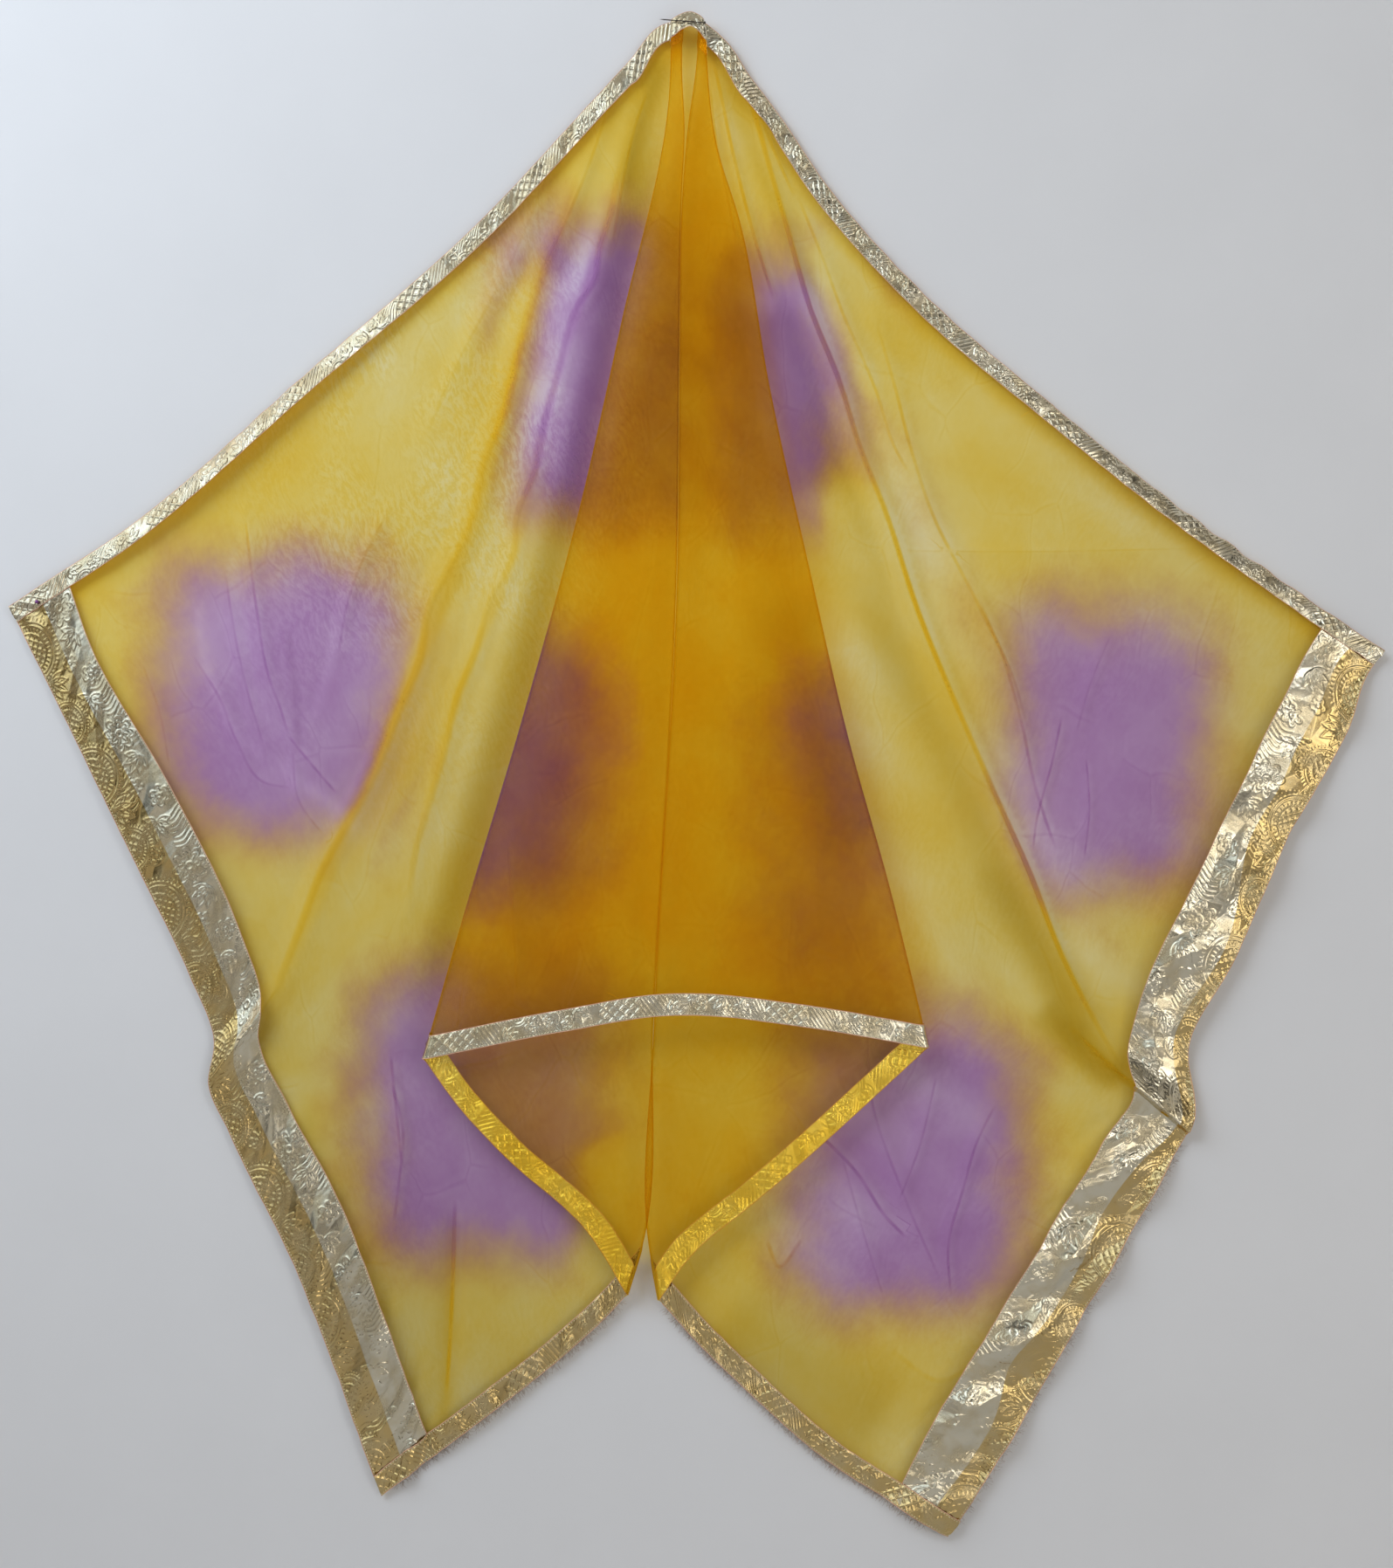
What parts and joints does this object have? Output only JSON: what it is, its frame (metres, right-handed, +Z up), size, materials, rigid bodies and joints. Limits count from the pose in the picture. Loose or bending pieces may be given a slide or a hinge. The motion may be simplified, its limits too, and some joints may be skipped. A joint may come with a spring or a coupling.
{
  "type": "dupatta with wall pins",
  "caption": "Sheer organza dupatta with tie-dyed squares and foil ribbon edges, hung in a deep box pleat from its pinned top edge.",
  "frame": {"origin": "gathered middle of the top long edge, where the straight pin holds it to the wall", "axes": "+Z up, +X to the viewer's right along the wall, +Y into the wall; the cloth's front faces -Y"},
  "size_m": [1.5731, 0.039, 1.746],
  "materials": {
    "organza": "sheer, crisp",
    "foil_ribbon": "embossed foil, satin",
    "pin_steel": "darkened",
    "pin_glass": "glossy"
  },
  "bodies": {
    "root": {"organza_cloth": "organza", "top_trim": "foil_ribbon", "bottom_trim": "foil_ribbon", "left_end_trim": "foil_ribbon", "right_end_trim": "foil_ribbon", "apex_pin": "pin_steel", "corner_pin": "pin_glass"}
  },
  "joints": []
}
